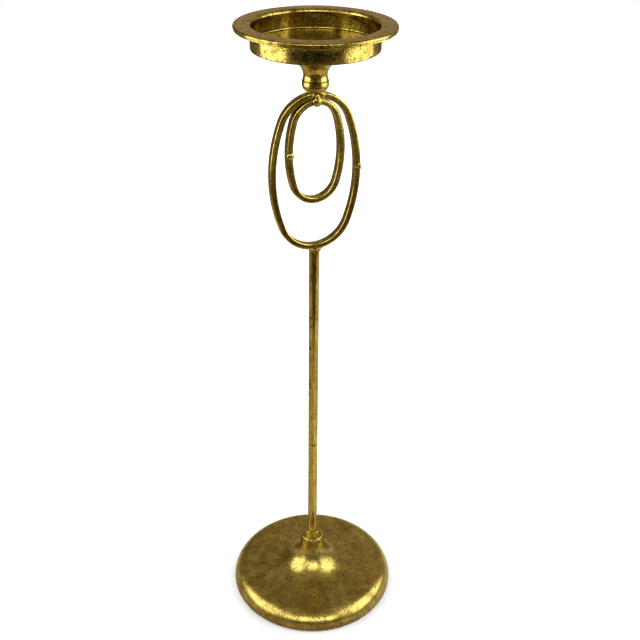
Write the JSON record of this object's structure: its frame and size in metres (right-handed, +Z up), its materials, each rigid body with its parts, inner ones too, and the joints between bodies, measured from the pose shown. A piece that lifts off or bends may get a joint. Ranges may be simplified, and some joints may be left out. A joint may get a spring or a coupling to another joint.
{
  "type": "tall candlestick",
  "caption": "Tall metal candlestick: round drip pan with a level brim on a turned neck, nested oval rings of flat bar, a rod stem and a trumpet foot.",
  "frame": {"origin": "on the surface that it stands on, under the stem's axis, at the undersides of the felt pads", "axes": "+Z up along the stem; X across the large ring, which lies in the XZ plane; Y through the rings' openings"},
  "size_m": [0.176, 0.176, 0.621],
  "materials": {
    "antique_gold_casting": "cast, painted antique gold, worn and lightly pitted",
    "antique_gold_steel": "steel, painted antique gold, worn at the edges",
    "zinc_plated_steel": "zinc plated, dull",
    "felt": "dark felt"
  },
  "bodies": {
    "root": {"felt_pad_1": "felt", "felt_pad_2": "felt", "felt_pad_3": "felt", "felt_pad_4": "felt", "foot_casting": "antique_gold_casting", "foot_washer": "zinc_plated_steel", "foot_spring_washer": "zinc_plated_steel", "foot_nut": "zinc_plated_steel", "stem_lock_nut": "antique_gold_steel", "stem": "antique_gold_steel", "stem_top_weld": "antique_gold_steel", "outer_ring": "antique_gold_steel", "outer_ring_seam_weld": "antique_gold_steel", "inner_ring": "antique_gold_steel", "inner_ring_seam_weld": "antique_gold_steel", "hanger_weld_front": "antique_gold_steel", "hanger_weld_back": "antique_gold_steel", "crown_weld": "antique_gold_steel", "neck_bead": "antique_gold_steel", "neck_trumpet": "antique_gold_steel", "drip_pan": "antique_gold_casting", "pan_screw": "zinc_plated_steel"}
  },
  "joints": []
}
